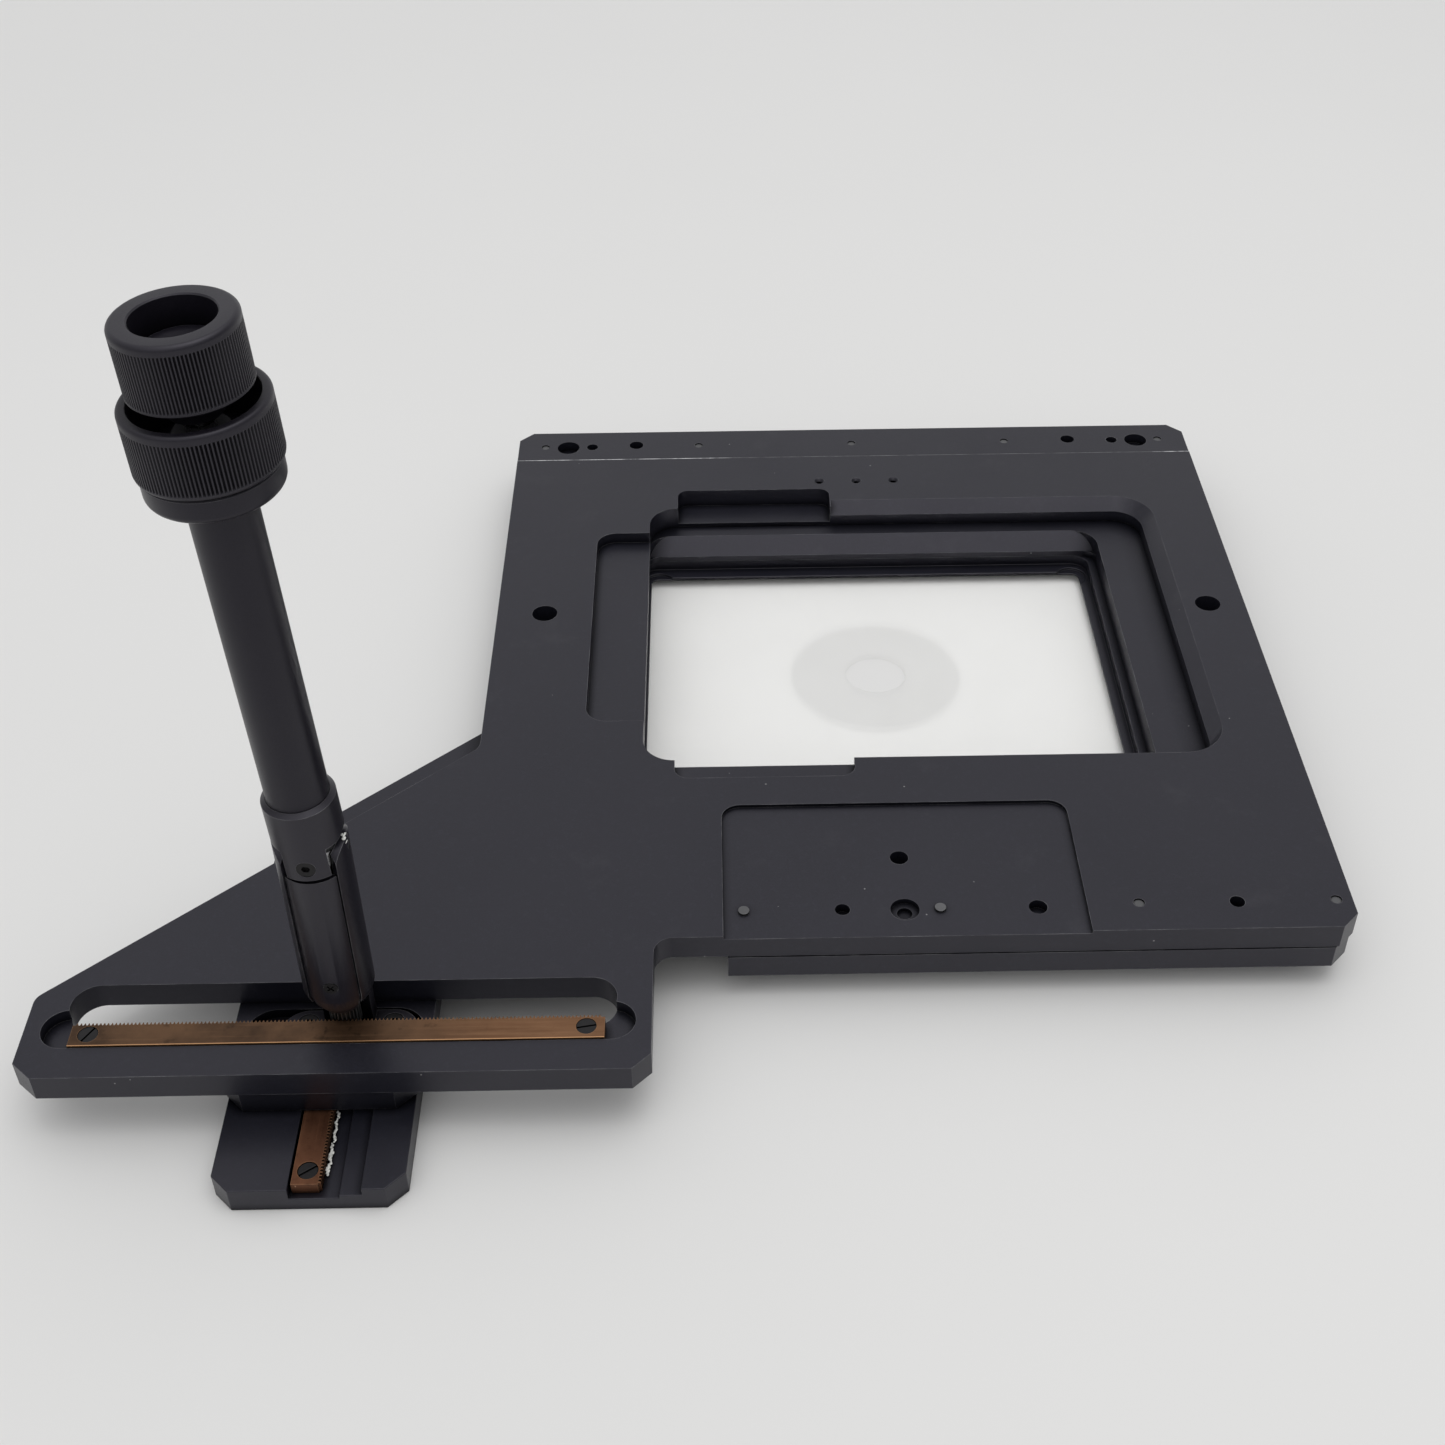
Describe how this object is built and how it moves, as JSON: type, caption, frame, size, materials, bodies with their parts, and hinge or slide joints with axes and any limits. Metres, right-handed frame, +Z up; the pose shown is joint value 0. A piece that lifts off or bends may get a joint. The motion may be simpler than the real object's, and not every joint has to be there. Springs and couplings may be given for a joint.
{
  "type": "microscope mechanical stage",
  "caption": "Black X-Y mechanical stage of an inverted microscope, with rack drives, a clear insert and coaxial knobs on a jointed handle, lying upside down.",
  "frame": {"origin": "centre of the insert's hole, on the surface that the stage lies on", "axes": "+X right along the X rack, +Y away from the handle side, +Z up, from the specimen plate to the base plate"},
  "size_m": [0.334, 0.308, 0.2127],
  "materials": {
    "plate": "black anodised, bead blasted, satin",
    "handle_black": "black anodised, satin",
    "knob_black": "black anodised, knurled",
    "rack": "bronze, milled and worn",
    "steel": "ground",
    "pinion_steel": "blackened, cut teeth",
    "screw_steel": "worn",
    "screw_black": "blackened",
    "brass": "turned",
    "clear_insert": "clear, polished"
  },
  "bodies": {
    "base": {"base_plate": "plate", "rail_screws": "screw_steel", "x_rack": "rack", "x_rack_screws": "screw_black", "x_rails_base": "steel"},
    "middle": {"x_rails_middle": "steel", "y_rails_middle": "steel", "middle_plate": "plate", "handle_post": "handle_black", "post_screws": "screw_black", "barrel_cover": "handle_black", "cover_screw": "screw_black", "barrel_fork": "handle_black", "gimbal_side_pins": "screw_steel", "post_bushes": "brass", "pinion_bush": "brass"},
    "x_cages": {"x_ball_cages": "brass", "x_guide_balls": "steel"},
    "y_cages": {"y_ball_cages": "brass", "y_guide_balls": "steel"},
    "specimen": {"specimen_plate": "plate", "y_rails_specimen": "steel", "y_rack": "rack", "y_rack_screws": "screw_black", "stage_insert": "clear_insert"},
    "x_pinion": {"x_pinion_sleeve": "pinion_steel", "x_drive_socket": "steel"},
    "y_pinion": {"y_pinion_shaft": "pinion_steel", "y_drive_socket": "steel"},
    "gimbal": {"gimbal_ring": "steel"},
    "handle": {"collar": "handle_black", "collar_screws": "screw_black", "handle_tube": "handle_black", "handle_bushes": "brass", "end_ring": "handle_black"},
    "x_knob": {"x_upper_sleeve": "steel", "x_drive_pins": "steel", "x_knob": "knob_black", "x_knob_set_screw": "screw_black"},
    "y_knob": {"y_upper_shaft": "steel", "y_drive_pins": "steel", "y_knob": "knob_black", "y_knob_set_screw": "screw_black", "top_disc": "knob_black"}
  },
  "joints": [
    {"name": "x_slide", "type": "slide", "parent": "base", "child": "middle", "axis": [1, 0, 0], "range_m": [-0.057, 0.057]},
    {"name": "y_slide", "type": "slide", "parent": "middle", "child": "specimen", "axis": [0, 1, 0], "range_m": [-0.0375, 0.0375]},
    {"name": "x_cage_slide", "type": "slide", "parent": "base", "child": "x_cages", "axis": [1, 0, 0], "range_m": [-0.0286, 0.0286]},
    {"name": "y_cage_slide", "type": "slide", "parent": "middle", "child": "y_cages", "axis": [0, 1, 0], "range_m": [-0.0189, 0.0189]},
    {"name": "x_pinion_spin", "type": "hinge", "parent": "middle", "child": "x_pinion", "pos_m": [-0.1421, -0.1531, 0.022], "axis": [0, 0, 1], "range_deg": [-909, 909]},
    {"name": "y_pinion_spin", "type": "hinge", "parent": "middle", "child": "y_pinion", "pos_m": [-0.1421, -0.1531, 0.006], "axis": [0, 0, 1], "range_deg": [-897, 897]},
    {"name": "gimbal_front_tilt", "type": "hinge", "parent": "middle", "child": "gimbal", "pos_m": [-0.1421, -0.1531, 0.0783], "axis": [1, 0, 0], "range_deg": [-4.5, 4.5]},
    {"name": "gimbal_side_tilt", "type": "hinge", "parent": "gimbal", "child": "handle", "pos_m": [-0.1421, -0.1531, 0.0783], "axis": [0, 1, 0], "range_deg": [-2.6, 7.4]},
    {"name": "x_knob_spin", "type": "hinge", "parent": "handle", "child": "x_knob", "pos_m": [-0.1421, -0.1531, 0.0783], "axis": [-0.0419, 0, 0.9991], "range_deg": [-909, 909]},
    {"name": "y_knob_spin", "type": "hinge", "parent": "handle", "child": "y_knob", "pos_m": [-0.1421, -0.1531, 0.0783], "axis": [-0.0419, 0, 0.9991], "range_deg": [-897, 897]}
  ],
  "couplings": [
    {"joint": "x_pinion_spin", "follows": "x_slide", "rad_per_m": -277.78},
    {"joint": "x_knob_spin", "follows": "x_slide", "rad_per_m": -277.78},
    {"joint": "x_cage_slide", "follows": "x_slide", "ratio": 0.5},
    {"joint": "y_cage_slide", "follows": "y_slide", "ratio": 0.5},
    {"joint": "y_pinion_spin", "follows": "y_slide", "rad_per_m": -416.67},
    {"joint": "y_knob_spin", "follows": "y_slide", "rad_per_m": -416.67}
  ]
}
